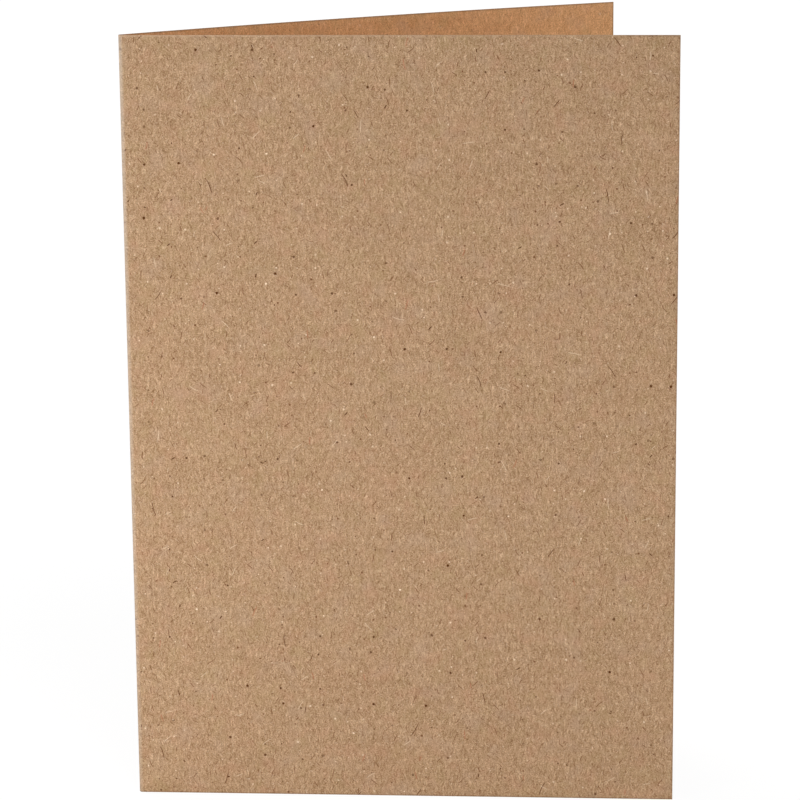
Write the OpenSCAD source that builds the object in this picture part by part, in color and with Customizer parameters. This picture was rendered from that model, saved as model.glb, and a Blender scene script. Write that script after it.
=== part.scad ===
// Blank card: one sheet of kraft board, scored and folded once down the middle.
// It stands upright on its lower edge, slightly open, with the fold at the left (-X)
// and the flat front panel facing -Y. The back panel curls a little away from the front.
// All sizes are in millimetres and all angles in degrees.

/* [Sheet] */
// Width of the sheet before it is folded, across the fold
sheet_w = 210; // [120:1:420]
// Height of the sheet, along the fold
sheet_h = 150; // [80:1:300]
// Thickness of the board
board_t = 0.3; // [0.2:0.05:0.8]

/* [Fold] */
// Radius on the inside of the fold
fold_r = 0.4; // [0.2:0.1:2]
// Angle between the front panel and the straight line across the back panel
open_angle = 28; // [16:1:70]

/* [Back panel] */
// Angle through which the back panel curls between the fold and its free edge
back_curl = 9; // [0.5:0.5:20]

/* [Hidden] */

// Colour of the board
kraft = [0.69, 0.56, 0.44];

// Segments round the fold, and across the wide curl of the back panel
fold_steps = 16;
curl_steps = 24;

// Directions of the back panel, counted from +X, where it leaves the fold and at its free edge
back_start_dir = open_angle + back_curl / 2;
back_end_dir = open_angle - back_curl / 2;

// The fold turns the sheet from the front panel round to the back panel
fold_turn = 180 - back_start_dir;
fold_mid_r = fold_r + board_t / 2;
fold_outer_r = fold_r + board_t;

// The bend takes its share of the sheet, and the two panels halve what is left
fold_run = fold_mid_r * fold_turn * PI / 180;
panel_w = (sheet_w - fold_run) / 2;

// Radius of the back panel at the middle of the board, and the centre of its curl,
// which lies on the line square to the panel where it leaves the fold
curl_mid_r = panel_w * 180 / (PI * back_curl);
curl_centre = around([0, 0], fold_mid_r - curl_mid_r, back_start_dir + 90);

// Footprint, counted from the centre of the fold
back_corner = around(curl_centre, curl_mid_r + board_t / 2, back_end_dir + 90);
foot_min = [-fold_outer_r, -fold_outer_r];
foot_max = [panel_w, back_corner.y];
foot_centre = (foot_min + foot_max) / 2;

// Point on a circle, at an angle counted from +X
function around(centre, r, angle) = centre + r * [cos(angle), sin(angle)];

function reversed(points) = [for (i = [len(points) - 1 : -1 : 0]) points[i]];

// Points round the fold and across the back panel, at a distance outside the middle of the board
function fold_points(out) = [
    for (i = [0 : fold_steps])
        around([0, 0], fold_mid_r + out, 270 - fold_turn * i / fold_steps)
];

function back_points(out) = [
    for (i = [1 : curl_steps])
        around(curl_centre, curl_mid_r + out, back_start_dir + 90 - back_curl * i / curl_steps)
];

// One face of the sheet seen from above, from the front panel's free edge to the back panel's
function face_line(out) = concat(
    [[panel_w, -fold_mid_r - out]],
    fold_points(out),
    back_points(out)
);

// The whole sheet, with the middle of its footprint at the origin
module card() {
    color(kraft)
        translate([-foot_centre.x, -foot_centre.y, 0])
            linear_extrude(height = sheet_h)
                polygon(concat(face_line(board_t / 2), reversed(face_line(-board_t / 2))));
}

card();
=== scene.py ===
import math
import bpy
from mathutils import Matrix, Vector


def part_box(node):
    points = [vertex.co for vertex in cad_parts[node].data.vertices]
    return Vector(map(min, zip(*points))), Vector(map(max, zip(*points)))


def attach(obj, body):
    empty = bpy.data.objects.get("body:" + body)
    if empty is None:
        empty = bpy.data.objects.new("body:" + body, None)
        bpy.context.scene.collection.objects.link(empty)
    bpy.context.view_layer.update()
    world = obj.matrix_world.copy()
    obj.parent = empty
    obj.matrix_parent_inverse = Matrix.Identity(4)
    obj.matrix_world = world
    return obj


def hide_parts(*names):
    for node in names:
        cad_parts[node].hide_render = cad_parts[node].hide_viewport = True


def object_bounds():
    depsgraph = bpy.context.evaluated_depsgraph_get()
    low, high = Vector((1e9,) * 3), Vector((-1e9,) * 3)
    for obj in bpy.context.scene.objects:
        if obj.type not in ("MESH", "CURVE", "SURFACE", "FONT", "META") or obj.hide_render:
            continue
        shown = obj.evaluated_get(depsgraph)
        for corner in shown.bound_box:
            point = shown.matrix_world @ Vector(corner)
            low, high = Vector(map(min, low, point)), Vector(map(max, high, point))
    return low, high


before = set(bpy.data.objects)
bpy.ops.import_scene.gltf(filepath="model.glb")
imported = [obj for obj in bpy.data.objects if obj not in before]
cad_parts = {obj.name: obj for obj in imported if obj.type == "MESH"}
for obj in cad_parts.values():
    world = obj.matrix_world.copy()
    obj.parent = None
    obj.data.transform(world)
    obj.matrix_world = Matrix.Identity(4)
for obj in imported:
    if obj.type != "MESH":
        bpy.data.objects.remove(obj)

from types import SimpleNamespace

import bmesh
import bpy
from mathutils import Euler, Matrix, Vector

cadLow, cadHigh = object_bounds()
bpy.context.scene.view_settings.view_transform = "Standard"
print("frame loaded, box", tuple(cadLow), tuple(cadHigh))


# Small helpers for node trees

def plug(tree, value, socket):
    # a link from another node, or a plain value
    if isinstance(value, bpy.types.NodeSocket):
        tree.links.new(value, socket)
    else:
        socket.default_value = value


def addNode(tree, kind, inputs=None, **settings):
    node = tree.nodes.new(kind)
    for name, value in settings.items():
        setattr(node, name, value)
    for name, value in (inputs or {}).items():
        plug(tree, value, node.inputs[name])
    return node


def calc(tree, operation, first, second=0.0):
    node = addNode(tree, "ShaderNodeMath", {0: first, 1: second}, operation=operation)
    return node.outputs[0]


def ramp(tree, value, fromLow, fromHigh, toLow=0.0, toHigh=1.0, smooth=True):
    node = addNode(
        tree, "ShaderNodeMapRange",
        {"Value": value, "From Min": fromLow, "From Max": fromHigh, "To Min": toLow, "To Max": toHigh},
        interpolation_type="SMOOTHSTEP" if smooth else "LINEAR",
    )
    return node.outputs["Result"]


def mixColour(tree, share, first, second):
    # the colour form of the Mix node has its colours at inputs 6 and 7, and its result at output 2
    node = addNode(tree, "ShaderNodeMix", {0: share, 6: first, 7: second}, data_type="RGBA")
    return node.outputs[2]


def shifted(tree, vector, place):
    node = addNode(tree, "ShaderNodeVectorMath", {0: vector, 1: (*place, 0.0)}, operation="ADD")
    return node.outputs[0]


def pushed(tree, vector, push, reach):
    node = addNode(
        tree, "ShaderNodeVectorMath", {0: push, 1: (reach, reach, 0.0), 2: vector},
        operation="MULTIPLY_ADD",
    )
    return node.outputs[0]


def flatNoise(tree, vector, fineness, detail=0.0):
    return addNode(
        tree, "ShaderNodeTexNoise", {"Vector": vector, "Scale": fineness, "Detail": detail},
        noise_dimensions="2D",
    )


def flatCells(tree, vector, fineness):
    return addNode(
        tree, "ShaderNodeTexVoronoi", {"Vector": vector, "Scale": fineness}, voronoi_dimensions="2D",
    )


def newGroup(name, inputs, outputs):
    # each group reads a place on the sheet, and its other sockets are plain numbers
    group = bpy.data.node_groups.new(name, "ShaderNodeTree")
    group.interface.new_socket("Sheet", in_out="INPUT", socket_type="NodeSocketVector")
    for label, value in inputs.items():
        socket = group.interface.new_socket(label, in_out="INPUT", socket_type="NodeSocketFloat")
        socket.default_value = value
    for label in outputs:
        group.interface.new_socket(label, in_out="OUTPUT", socket_type="NodeSocketFloat")
    source = group.nodes.new("NodeGroupInput").outputs
    sink = group.nodes.new("NodeGroupOutput").inputs
    return group, source, sink


def newMaterial(name):
    material = bpy.data.materials.new(name)
    material.use_nodes = True
    tree = material.node_tree
    return material, tree, tree.nodes["Principled BSDF"]


def screenColour(red, green, blue):
    # 0 to 255 as read off a screen, to the linear values that a shader takes
    def linear(v):
        v = v / 255
        return v / 12.92 if v <= 0.04045 else ((v + 0.055) / 1.055) ** 2.4
    return (linear(red), linear(green), linear(blue), 1.0)


# Folded card: the sheet is modelled at the middle of its thickness, then thickened

cardForm = {
    # metres and degrees
    "sheetWidth": 0.210,             # flat, across the fold
    "boardThickness": 0.0003,
    "foldRadius": 0.0004,            # on the inside of the fold
    "openAngle": 28.0,               # front panel to the line across the back panel
    "backCurl": 9.0,                 # turn of the back panel between fold and free edge
    "panelColumns": 80,
    "rows": 114,
    "foldSteps": 24,
    "weldReach": 0.000003,           # points nearer than this count as one
    "foldSlack": 0.06,               # and so do turns round the fold
    "cockleSize": 0.014,             # soft unevenness of the board
    "cockleHeight": 0.00003,
    "cockleDepth": 2,
    "stiffNearFold": (0.002, 0.02),  # from no unevenness to all of it
    "edgeSoftness": 0.00003,         # rounding of the cut edges
    "edgeSegments": 2,
    "edgeAngle": 60.0,
    "smoothAngle": 40.0,
}


def planCard(form):
    # where the fold and the curl of the back panel lie, at the middle of the board
    low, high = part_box("card")
    outerRadius = form["foldRadius"] + form["boardThickness"]
    plan = SimpleNamespace()
    plan.foot = low.z
    plan.height = high.z - low.z
    plan.foldRadius = form["foldRadius"] + form["boardThickness"] / 2
    plan.backTurn = math.radians(form["openAngle"] + form["backCurl"] / 2)  # as it leaves the fold
    plan.foldTurn = math.pi - plan.backTurn
    plan.curlTurn = math.radians(form["backCurl"])
    plan.foldRun = plan.foldRadius * plan.foldTurn
    plan.panelWidth = (form["sheetWidth"] - plan.foldRun) / 2
    plan.curlRadius = plan.panelWidth / plan.curlTurn
    plan.foldCentre = Vector((low.x + outerRadius, low.y + outerRadius, 0))
    squareToBack = Vector((-math.sin(plan.backTurn), math.cos(plan.backTurn), 0))
    plan.curlCentre = plan.foldCentre + (plan.foldRadius - plan.curlRadius) * squareToBack
    return plan


def layFrontPanel(form, plan):
    middle = (
        plan.foldCentre.x + plan.panelWidth / 2,
        plan.foldCentre.y - plan.foldRadius,
        plan.foot + plan.height / 2,
    )
    bpy.ops.object.select_all(action="DESELECT")
    bpy.ops.mesh.primitive_grid_add(
        x_subdivisions=form["panelColumns"],
        y_subdivisions=form["rows"],
        size=1,
        calc_uvs=False,
        location=middle,
        rotation=(math.pi / 2, 0, 0),
    )
    card = bpy.context.object
    card.name = "foldedCard"
    card.data.name = "foldedCard"
    card.scale = (plan.panelWidth, plan.height, 1)
    bpy.ops.object.transform_apply(location=True, rotation=True, scale=True)
    return card


def selectEdges(mesh, isWanted):
    bpy.ops.mesh.select_mode(type="EDGE")
    bpy.ops.mesh.select_all(action="DESELECT")
    edit = bmesh.from_edit_mesh(mesh)
    for edge in edit.edges:
        if all(isWanted(v.co) for v in edge.verts):
            edge.select_set(True)
    edit.select_flush_mode()
    bmesh.update_edit_mesh(mesh)


def sweepBackPanel(card, form, plan):
    # the edge by the fold is swept round the fold, then along the curl of the back panel
    upright = (0, 0, 1)
    bpy.ops.object.mode_set(mode="EDIT")
    selectEdges(card.data, lambda place: abs(place.x - plan.foldCentre.x) < form["weldReach"])
    bpy.ops.mesh.spin(steps=form["foldSteps"], angle=plan.foldTurn, center=plan.foldCentre, axis=upright)
    bpy.ops.mesh.spin(steps=form["panelColumns"], angle=plan.curlTurn, center=plan.curlCentre, axis=upright)
    bpy.ops.mesh.select_all(action="SELECT")
    bpy.ops.mesh.remove_doubles(threshold=form["weldReach"])
    bpy.ops.mesh.normals_make_consistent(inside=False)
    bpy.ops.object.mode_set(mode="OBJECT")
    frontFace = max(card.data.polygons, key=lambda face: face.center.x)
    if frontFace.normal.y > 0:
        card.data.flip_normals()


def acrossSheet(place, form, plan):
    # distance across the flat sheet, from the front panel's free edge
    reach = form["weldReach"]
    fromFold = place - plan.foldCentre
    if fromFold.x > -reach and fromFold.y < -plan.foldRadius + reach:
        return plan.panelWidth - fromFold.x
    turned = (-math.pi / 2 - math.atan2(fromFold.y, fromFold.x)) % (2 * math.pi)
    onFold = abs(fromFold.xy.length - plan.foldRadius) < reach
    if onFold and turned < plan.foldTurn + math.radians(form["foldSlack"]):
        return plan.panelWidth + plan.foldRadius * turned
    fromCurl = place - plan.curlCentre
    curled = plan.backTurn + math.pi / 2 - math.atan2(fromCurl.y, fromCurl.x)
    return plan.panelWidth + plan.foldRun + plan.curlRadius * curled


def mapSheet(card, form, plan, across):
    # the flat sheet fills the map, so that the pattern runs on round the fold
    sheetMap = card.data.uv_layers.new(name="sheet")
    for loop in card.data.loops:
        vertex = card.data.vertices[loop.vertex_index]
        sheetMap.data[loop.index].uv = (
            across[vertex.index] / form["sheetWidth"],
            (vertex.co.z - plan.foot) / plan.height,
        )


def cockleSheet(card, form, across):
    # soft unevenness of the board, held still near the fold
    nearest, furthest = form["stiffNearFold"]
    loose = card.vertex_groups.new(name="loose")
    for index, distance in enumerate(across):
        fromFold = abs(distance - form["sheetWidth"] / 2)
        share = min(max((fromFold - nearest) / (furthest - nearest), 0), 1)
        eased = share * share * (3 - 2 * share)
        loose.add([index], eased, "REPLACE")
    clouds = bpy.data.textures.new("cockle", "CLOUDS")
    clouds.noise_scale = form["cockleSize"]
    clouds.noise_depth = form["cockleDepth"]
    cockle = card.modifiers.new("cockle", "DISPLACE")
    cockle.texture = clouds
    cockle.texture_coords = "LOCAL"
    cockle.strength = form["cockleHeight"]
    cockle.mid_level = 1.0  # inwards only
    cockle.vertex_group = "loose"
    bpy.ops.object.modifier_apply(modifier="cockle")
    card.vertex_groups.clear()


def thickenSheet(card, form, outer, inner, cut):
    finishes = [outer, inner, cut]
    for finish in finishes:
        card.data.materials.append(finish)
    board = card.modifiers.new("board", "SOLIDIFY")
    board.thickness = form["boardThickness"]
    board.offset = 0
    board.use_even_offset = True
    board.material_offset = finishes.index(inner)
    board.material_offset_rim = finishes.index(cut)
    bpy.ops.object.modifier_apply(modifier="board")
    soften = card.modifiers.new("soften", "BEVEL")
    soften.width = form["edgeSoftness"]
    soften.segments = form["edgeSegments"]
    soften.limit_method = "ANGLE"
    soften.angle_limit = math.radians(form["edgeAngle"])
    soften.material = finishes.index(cut)
    bpy.ops.object.modifier_apply(modifier="soften")
    bpy.ops.object.shade_smooth_by_angle(angle=math.radians(form["smoothAngle"]))


def buildCard(form, outer, inner, cut):
    plan = planCard(form)
    card = layFrontPanel(form, plan)
    sweepBackPanel(card, form, plan)
    across = [acrossSheet(vertex.co, form, plan) for vertex in card.data.vertices]
    mapSheet(card, form, plan, across)
    cockleSheet(card, form, across)
    thickenSheet(card, form, outer, inner, cut)
    return card


# Kraft board: pulp, specks and fibres, all drawn in millimetres on the flat sheet

def flatSize(form):
    millimetres = 1000.0
    low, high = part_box("card")
    return form["sheetWidth"] * millimetres, (high.z - low.z) * millimetres


pulpShape = {
    "layers": {
        # finenesses across and along the fibres, per millimetre, and strength in screen steps
        "felt": dict(across=3.0, along=3.0, strength=35.0),
        "pepper": dict(across=5.5, along=4.5, strength=48.0),
        "grain": dict(across=8.0, along=8.0, strength=58.0),
        "worms": dict(across=1.6, along=0.65, strength=35.0, ridged=True),
        "curls": dict(across=2.2, along=0.9, strength=31.0, ridged=True),
        "streaks": dict(across=2.0, along=0.5, strength=15.0),
        "fineStreaks": dict(across=4.5, along=0.55, strength=29.0),
        "clouds": dict(across=0.6, along=0.6, strength=10.0),
        "drift": dict(across=0.3, along=0.3, strength=4.0),
        "wash": dict(across=0.12, along=0.12, strength=6.5),
    },
    "noiseMean": 0.5,
    "ridgeMean": 0.129,              # mean of the noise's distance from its own mean
    "meander": dict(fineness=0.8, reach=0.7),
    "firstPlace": (200.0, 300.0),    # each layer has its own place on the noise
    "placeStep": (17.3, 9.2),
    "heightReach": 30.0,             # screen steps from the mean to the deepest and the highest
}


def buildPulp(shape):
    group, source, sink = newGroup("kraftPulp", {}, ["Tone", "Height"])
    # the fibres wander, so the sheet is pushed about a little first
    wander = flatNoise(group, source["Sheet"], shape["meander"]["fineness"])
    centred = addNode(
        group, "ShaderNodeVectorMath",
        {0: wander.outputs["Color"], 1: (shape["noiseMean"],) * 3}, operation="SUBTRACT",
    )
    bent = pushed(group, source["Sheet"], centred.outputs[0], shape["meander"]["reach"])
    firstX, firstY = shape["firstPlace"]
    stepX, stepY = shape["placeStep"]
    tone = 0.0
    for index, layer in enumerate(shape["layers"].values()):
        stretched = addNode(
            group, "ShaderNodeMapping",
            {
                "Vector": bent,
                "Scale": (layer["across"], layer["along"], 1),
                "Location": (firstX + stepX * index, firstY + stepY * index, 0),
            },
        )
        noise = flatNoise(group, stretched.outputs[0], 1.0)
        part = calc(group, "SUBTRACT", noise.outputs[0], shape["noiseMean"])
        if layer.get("ridged"):
            part = calc(group, "SUBTRACT", calc(group, "ABSOLUTE", part), shape["ridgeMean"])
        tone = calc(group, "ADD", tone, calc(group, "MULTIPLY", part, layer["strength"]))
    height = ramp(group, tone, -shape["heightReach"], shape["heightReach"], smooth=False)
    plug(group, tone, sink["Tone"])
    plug(group, height, sink["Height"])
    return group


speckShape = {
    "ragged": dict(fineness=5.0, reach=0.15),
    "sizes": (0.55, 1.5),        # smallest and largest, as shares of the radius
    "sizeFall": 2.0,             # the higher, the fewer large ones
    "strengths": (0.45, 1.0),
    "core": 0.6,                 # share of the radius that is full colour
}


def buildSpecks(shape):
    group, source, sink = newGroup("boardSpecks", {"Cells": 0.5, "Share": 0.5, "Radius": 0.15}, ["Mask"])
    ragged = flatNoise(group, source["Sheet"], shape["ragged"]["fineness"])
    place = pushed(group, source["Sheet"], ragged.outputs["Color"], shape["ragged"]["reach"])
    cells = flatCells(group, place, source["Cells"])
    chance = addNode(group, "ShaderNodeSeparateColor", {"Color": cells.outputs["Color"]})
    distance = calc(group, "DIVIDE", cells.outputs["Distance"], source["Cells"])
    luck = calc(group, "POWER", chance.outputs[1], shape["sizeFall"])
    size = ramp(group, luck, 0, 1, *shape["sizes"], smooth=False)
    radius = calc(group, "MULTIPLY", source["Radius"], size)
    spot = ramp(group, distance, calc(group, "MULTIPLY", radius, shape["core"]), radius, 1.0, 0.0)
    kept = calc(group, "LESS_THAN", chance.outputs[0], source["Share"])
    strength = ramp(group, chance.outputs[2], 0, 1, *shape["strengths"], smooth=False)
    mask = calc(group, "MULTIPLY", calc(group, "MULTIPLY", spot, kept), strength)
    plug(group, mask, sink["Mask"])
    return group


fibreShape = {
    "halfLengths": (0.2, 0.5),   # shortest and longest, as shares of the length
    "bow": 0.16,                 # sideways bend over half the length
    "core": 0.4,                 # share of the width that is full colour
    "taper": 0.6,                # share of the length before the ends fade
}


def buildFibres(shape):
    group, source, sink = newGroup(
        "looseFibres",
        {"Cells": 0.15, "Share": 0.5, "Length": 2.0, "Width": 0.12, "Spread": 2.0},
        ["Mask"],
    )
    cells = flatCells(group, source["Sheet"], source["Cells"])
    chance = addNode(group, "ShaderNodeSeparateColor", {"Color": cells.outputs["Color"]})
    local = addNode(
        group, "ShaderNodeVectorMath",
        {0: source["Sheet"], 1: cells.outputs["Position"]}, operation="SUBTRACT",
    )
    angle = calc(group, "MULTIPLY", calc(group, "SUBTRACT", chance.outputs[1], 0.5), source["Spread"])
    turned = addNode(
        group, "ShaderNodeVectorRotate", {"Vector": local.outputs[0], "Angle": angle},
        rotation_type="Z_AXIS",
    )
    place = addNode(group, "ShaderNodeSeparateXYZ", {"Vector": turned.outputs[0]})
    aside, along = place.outputs[0], place.outputs[1]
    # each fibre has its own length and bends its own way
    luck = calc(group, "DIVIDE", chance.outputs[0], source["Share"])
    share = ramp(group, luck, 0, 1, *shape["halfLengths"], smooth=False)
    half = calc(group, "MULTIPLY", source["Length"], share)
    bend = ramp(group, chance.outputs[2], 0, 1, -shape["bow"], shape["bow"], smooth=False)
    squared = calc(group, "DIVIDE", calc(group, "MULTIPLY", along, along), half)
    aside = calc(group, "ABSOLUTE", calc(group, "ADD", aside, calc(group, "MULTIPLY", squared, bend)))
    along = calc(group, "ABSOLUTE", along)
    halfWidth = calc(group, "MULTIPLY", source["Width"], 0.5)
    stroke = ramp(group, aside, calc(group, "MULTIPLY", halfWidth, shape["core"]), halfWidth, 1.0, 0.0)
    ends = ramp(group, along, calc(group, "MULTIPLY", half, shape["taper"]), half, 1.0, 0.0)
    kept = calc(group, "LESS_THAN", luck, 1.0)
    mask = calc(group, "MULTIPLY", calc(group, "MULTIPLY", stroke, ends), kept)
    plug(group, mask, sink["Mask"])
    return group


borderShape = {
    # millimetres on the sheet, and shares
    "cutReach": 0.4,
    "lipReach": 0.45,
    "foldReach": (0.35, 1.05),
    "corner": (10.0, 14.0),      # the front panel's top edge carries the painted highlight from here on
    "lipFade": (-10.0, 95.0),    # and most of all towards the fold
    "lowFoldBand": 0.42,             # the pale fold band at the foot of the fold, against its head
    "edgeShare": 0.65,           # shade of the other cut edges, against the painted shadow at the foot
}


def buildBorders(size, shape):
    # how near a place is to the cut edges, to the front panel's top edge and to the fold
    group, source, sink = newGroup("sheetBorders", {}, ["Cut", "Lip", "Fold"])
    width, height = size
    place = addNode(group, "ShaderNodeSeparateXYZ", {"Vector": source["Sheet"]})
    across, up = place.outputs[0], place.outputs[1]
    fromFold = calc(group, "ABSOLUTE", calc(group, "SUBTRACT", across, width / 2))
    fromSide = calc(group, "SUBTRACT", width / 2, fromFold)
    fromTop = calc(group, "SUBTRACT", height, up)
    onFront = calc(group, "LESS_THAN", across, width / 2)
    # the top edge that carries the painted highlight has no cut shade, so it counts as far from the top
    # there
    lip = calc(group, "MULTIPLY", onFront, ramp(group, across, *shape["corner"]))
    farTop = calc(group, "ADD", fromTop, calc(group, "MULTIPLY", lip, height))
    # painted contact shadow along the foot of the card, where it meets the floor
    foot = ramp(group, up, 0.0, shape["cutReach"], 1.0, 0.0)
    fromRim = calc(group, "MINIMUM", fromSide, farTop)
    rim = ramp(group, fromRim, 0.0, shape["cutReach"], shape["edgeShare"], 0.0)
    cut = calc(group, "MAXIMUM", foot, rim)
    # painted highlight along the front panel's top edge, brightest towards the fold
    pale = calc(group, "MULTIPLY", lip, ramp(group, fromTop, 0.0, shape["lipReach"], 1.0, 0.0))
    pale = calc(group, "MULTIPLY", pale, ramp(group, across, *shape["lipFade"]))
    # pale band along the fold: partly worn fibres, partly a painted highlight on the rounded fold; stronger
    # towards the top
    foldBandByHeight = ramp(group, up, 0.0, height, shape["lowFoldBand"], 1.0, smooth=False)
    fold = calc(group, "MULTIPLY", ramp(group, fromFold, *shape["foldReach"], 1.0, 0.0), foldBandByHeight)
    plug(group, cut, sink["Cut"])
    plug(group, pale, sink["Lip"])
    plug(group, fold, sink["Fold"])
    return group


sheetSize = flatSize(cardForm)
pulpGroup = buildPulp(pulpShape)
markGroups = {"specks": buildSpecks(speckShape), "fibres": buildFibres(fibreShape)}
borderGroup = buildBorders(sheetSize, borderShape)
print("node groups built")

kraftLook = {
    # colours in screen steps, 0 to 255; each face has a mean colour, contrast of the pulp,
    # share of the marks, place on the pattern and shade along the cut edges
    "outerFace": dict(mean=(177, 143, 109), contrast=1.0, marking=1.0, start=(0, 0), cutShade=0.6),
    # the inner face's mean is brighter and warmer than the outer one: painted light, standing in for light
    # bounced between the panels
    "innerFace": dict(mean=(218, 165, 115), contrast=0.8, marking=0.4, start=(400, 200), cutShade=0.85),
    "toneReach": 40,                   # from the mean to each end of the tones
    "toneStops": (0.25, 0.5, 0.75),    # between the two ends
    "roughness": (0.94, 0.82),         # in the hollows and on the fibres
    "gloss": 0.25,
    "bump": dict(strength=0.2, distance=0.00005),
    "blooms": {
        # tint, share at most, fineness and place
        "rosy": ((196, 142, 114), 0.2, 0.25, (3, 5)),
        "olive": ((172, 148, 100), 0.2, 0.25, (61, 9)),
        "wideRosy": ((196, 142, 112), 0.08, 0.07, (7, 83)),
        "wideOlive": ((172, 148, 104), 0.08, 0.07, (19, 27)),
        "chalky": ((188, 160, 140), 0.2, 0.2, (33, 71)),
    },
    "bloomRange": (0.5, 0.85),
    "bloomDetail": 1.0,
    "marks": {
        # kind, tint, share at most, place, and then the values that markInputs names
        "darkFluff": ("fibres", (104, 50, 0), 0.4, (15, 44), (0.8, 0.8, 1.3, 0.22, 2.2)),
        "paleFluff": ("fibres", (246, 224, 196), 0.19, (52, 8), (0.8, 0.6, 1.0, 0.22, 2.6)),
        "brownSpecks": ("specks", (104, 50, 0), 0.88, (11, 3), (0.45, 0.25, 0.17)),
        "darkSpecks": ("specks", (88, 42, 0), 1.0, (71, 31), (0.28, 0.4, 0.23)),
        "brightSpecks": ("specks", (246, 224, 196), 1.0, (23, 57), (0.2, 0.26, 0.165)),
        "paleSpecks": ("specks", (246, 224, 196), 0.72, (37, 19), (0.4, 0.25, 0.16)),
        "redSpecks": ("specks", (150, 80, 50), 0.7, (5, 91), (0.1, 0.2, 0.17)),
        "brownFibres": ("fibres", (104, 50, 0), 0.74, (87, 65), (0.25, 0.4, 1.9, 0.2, 2.0)),
        "longFibres": ("fibres", (92, 44, 0), 0.95, (41, 13), (0.08, 0.35, 3.4, 0.2, 1.4)),
        "shortFibres": ("fibres", (88, 42, 0), 1.0, (63, 49), (0.12, 0.2, 1.1, 0.27, 2.4)),
        "paleHairs": ("fibres", (246, 224, 196), 0.5, (29, 77), (0.15, 0.3, 2.8, 0.17, 3.0)),
        "redFibres": ("fibres", (176, 96, 66), 0.5, (81, 23), (0.1, 0.25, 2.6, 0.28, 0.9)),
    },
    "markInputs": {
        # cells for each millimetre, share of them with a mark, sizes in millimetres, and the
        # spread of directions in radians
        "specks": ("Cells", "Share", "Radius"),
        "fibres": ("Cells", "Share", "Length", "Width", "Spread"),
    },
    # painted contact shadow along the card's foot, and a darker line along its other cut edges
    "edgeShadeTint": (112, 78, 46),
    # painted highlight on the front panel's top edge
    "lipShine": ((240, 203, 171), 0.35),
    # pale band along the fold, partly wear and partly painted highlight
    "foldWearAndHighlight": ((230, 214, 198), 0.42),
}


def toneRamp(tree, tone, mean, look):
    # equal steps on the screen, so dark places come out richer and pale ones greyer
    reach = look["toneReach"]
    share = ramp(tree, tone, -reach, reach, smooth=False)
    node = addNode(tree, "ShaderNodeValToRGB", {"Fac": share})
    stops = node.color_ramp.elements
    for place in look["toneStops"]:
        stops.new(place)
    for stop in stops:
        shift = (2 * stop.position - 1) * reach
        stop.color = screenColour(*(value + shift for value in mean))
    return node.outputs["Color"]


def tinted(tree, colour, mask, tint, amount):
    return mixColour(tree, calc(tree, "MULTIPLY", mask, amount), colour, screenColour(*tint))


def kraftMaterial(name, look, face):
    material, tree, shader = newMaterial(name)
    sheetMap = addNode(tree, "ShaderNodeUVMap", uv_map="sheet")
    flat = addNode(
        tree, "ShaderNodeMapping", {"Vector": sheetMap.outputs[0], "Scale": (*sheetSize, 1.0)},
    )
    sheet = shifted(tree, flat.outputs[0], face["start"])
    pulp = addNode(tree, "ShaderNodeGroup", {"Sheet": sheet}, node_tree=pulpGroup)
    tone = calc(tree, "MULTIPLY", pulp.outputs["Tone"], face["contrast"])
    colour = toneRamp(tree, tone, face["mean"], look)
    # soft blooms of colour in the pulp, then the marks, then at the borders: wear and painted highlight on
    # the fold, painted highlight on the top edge, painted shadow at the foot and darker cut edges
    for tint, amount, fineness, place in look["blooms"].values():
        bloom = flatNoise(tree, shifted(tree, sheet, place), fineness, look["bloomDetail"])
        colour = tinted(tree, colour, ramp(tree, bloom.outputs[0], *look["bloomRange"]), tint, amount)
    for kind, tint, amount, place, values in look["marks"].values():
        inputs = dict(zip(look["markInputs"][kind], values))
        inputs["Sheet"] = shifted(tree, sheet, place)
        mark = addNode(tree, "ShaderNodeGroup", inputs, node_tree=markGroups[kind])
        colour = tinted(tree, colour, mark.outputs["Mask"], tint, amount * face["marking"])
    borders = addNode(tree, "ShaderNodeGroup", {"Sheet": flat.outputs[0]}, node_tree=borderGroup)
    colour = tinted(tree, colour, borders.outputs["Fold"], *look["foldWearAndHighlight"])
    colour = tinted(tree, colour, borders.outputs["Lip"], *look["lipShine"])
    colour = tinted(tree, colour, borders.outputs["Cut"], look["edgeShadeTint"], face["cutShade"])
    plug(tree, colour, shader.inputs["Base Color"])
    roughness = ramp(tree, pulp.outputs["Height"], 0, 1, *look["roughness"], smooth=False)
    plug(tree, roughness, shader.inputs["Roughness"])
    shader.inputs["Specular IOR Level"].default_value = look["gloss"]
    bump = addNode(
        tree, "ShaderNodeBump",
        {
            "Height": pulp.outputs["Height"],
            "Strength": look["bump"]["strength"],
            "Distance": look["bump"]["distance"],
        },
    )
    plug(tree, bump.outputs[0], shader.inputs["Normal"])
    return material


cutLook = {
    "dark": (124, 92, 64),
    "pale": (226, 196, 166),
    "fineness": 9000.0,    # per metre
    "detail": 2.0,
    "roughness": 0.95,
    "gloss": 0.15,
}


def cutMaterial(name, look):
    material, tree, shader = newMaterial(name)
    place = addNode(tree, "ShaderNodeTexCoord")
    fibres = addNode(
        tree, "ShaderNodeTexNoise",
        {"Vector": place.outputs["Object"], "Scale": look["fineness"], "Detail": look["detail"]},
    )
    colour = mixColour(tree, fibres.outputs[0], screenColour(*look["dark"]), screenColour(*look["pale"]))
    plug(tree, colour, shader.inputs["Base Color"])
    shader.inputs["Roughness"].default_value = look["roughness"]
    shader.inputs["Specular IOR Level"].default_value = look["gloss"]
    return material


kraftOuter = kraftMaterial("kraftOuter", kraftLook, kraftLook["outerFace"])
kraftInner = kraftMaterial("kraftInner", kraftLook, kraftLook["innerFace"])
kraftCut = cutMaterial("kraftCut", cutLook)
print("board finishes made")

card = buildCard(cardForm, kraftOuter, kraftInner, kraftCut)
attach(card, "root")
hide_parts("card")
print("card modelled,", len(card.data.polygons), "faces")


# Stage: pale floor, soft lamps, white surroundings

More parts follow.
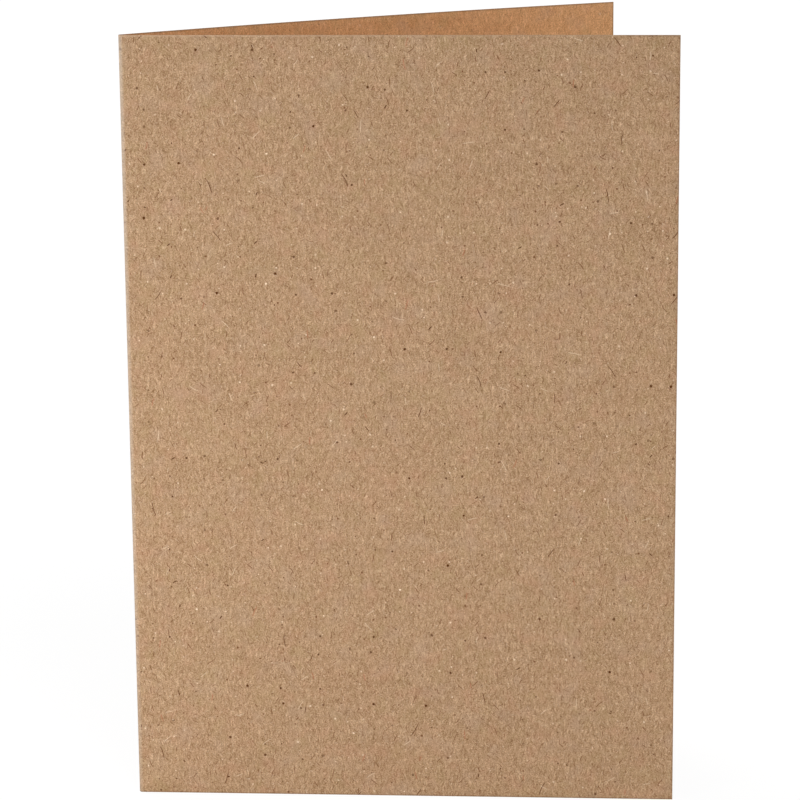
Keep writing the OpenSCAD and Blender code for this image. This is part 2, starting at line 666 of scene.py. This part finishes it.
stageSet = {
    "floorSize": 12.0,
    "floorDrop": 0.00002,
    "floorGrey": 0.8,
    "floorRoughness": 1.0,
    "floorGloss": 0.0,
    "glow": 0.85,              # share of white that the camera sees on the floor
    "glowStrength": 1.09,      # lifts the lit floor to plain white
    "roomFill": 0.2,           # light from all round
    "lamps": {
        "key": dict(place=(-0.22, -0.24, 0.045), size=(0.16, 0.08), power=0.415),
        "low": dict(place=(0.14, -0.14, 0.015), size=(0.12, 0.02), power=0.038),
        "fill": dict(place=(2.2, -3.4, 3.6), size=(2.6, 2.6), power=117.0),
        "back": dict(place=(-1.6, 2.2, 1.4), size=(1.6, 1.6), power=58.0),
    },
    "aim": (0.0, -0.01, 0.08),
}


def seenDirectly(tree):
    # 1 where the camera looks, also by way of gloss or glass
    path = addNode(tree, "ShaderNodeLightPath")
    seen = calc(tree, "MAXIMUM", path.outputs["Is Camera Ray"], path.outputs["Is Glossy Ray"])
    return calc(tree, "MAXIMUM", seen, path.outputs["Is Transmission Ray"])


def whiteFloor(setup):
    bpy.ops.object.select_all(action="DESELECT")
    bpy.ops.mesh.primitive_plane_add(size=setup["floorSize"], location=(0, 0, cadLow.z - setup["floorDrop"]))
    floor = bpy.context.object
    floor.name = "floor"
    material, tree, shader = newMaterial("floorWhite")
    grey = setup["floorGrey"]
    shader.inputs["Base Color"].default_value = (grey, grey, grey, 1)
    shader.inputs["Roughness"].default_value = setup["floorRoughness"]
    shader.inputs["Specular IOR Level"].default_value = setup["floorGloss"]
    glow = addNode(tree, "ShaderNodeEmission", {"Color": (1, 1, 1, 1), "Strength": setup["glowStrength"]})
    share = calc(tree, "MULTIPLY", seenDirectly(tree), setup["glow"])
    mix = addNode(tree, "ShaderNodeMixShader", {0: share, 1: shader.outputs[0], 2: glow.outputs[0]})
    plug(tree, mix.outputs[0], tree.nodes["Material Output"].inputs["Surface"])
    floor.data.materials.append(material)


def whiteRoom(setup):
    world = bpy.data.worlds.new("studio")
    bpy.context.scene.world = world
    world.use_nodes = True
    tree = world.node_tree
    shade = tree.nodes["Background"]
    shade.inputs["Color"].default_value = (1, 1, 1, 1)
    strength = ramp(tree, seenDirectly(tree), 0, 1, setup["roomFill"], 1.0, smooth=False)
    plug(tree, strength, shade.inputs["Strength"])


def softLamp(name, lampSet, aim):
    data = bpy.data.lights.new(name, "AREA")
    data.shape = "RECTANGLE"
    data.size, data.size_y = lampSet["size"]
    data.energy = lampSet["power"]
    lamp = bpy.data.objects.new(name, data)
    bpy.context.collection.objects.link(lamp)
    lamp.location = lampSet["place"]
    lamp.rotation_euler = (Vector(aim) - lamp.location).to_track_quat("-Z", "Y").to_euler()


whiteFloor(stageSet)
whiteRoom(stageSet)
for lampName, lampSet in stageSet["lamps"].items():
    softLamp(lampName, lampSet, stageSet["aim"])
print("stage set")


# Camera at the photograph's viewpoint

viewPoint = {
    "place": (0.04124, -0.64849, 0.23308),
    "azimuth": 3.802,
    "elevation": 13.758,
    "roll": -0.52,
    "lens": 151.53,
    "sensor": 36.0,
    "clip": (0.01, 100.0),
}


def photoCamera(setup):
    data = bpy.data.cameras.new("photoView")
    data.sensor_width = setup["sensor"]
    data.lens = setup["lens"]
    data.clip_start, data.clip_end = setup["clip"]
    camera = bpy.data.objects.new("photoView", data)
    bpy.context.collection.objects.link(camera)
    pointing = Euler((math.radians(90 - setup["elevation"]), 0, math.radians(setup["azimuth"])))
    turned = pointing.to_matrix() @ Matrix.Rotation(math.radians(setup["roll"]), 3, "Z")
    camera.rotation_euler = turned.to_euler()
    camera.location = setup["place"]
    bpy.context.scene.camera = camera


photoCamera(viewPoint)
print("camera placed")
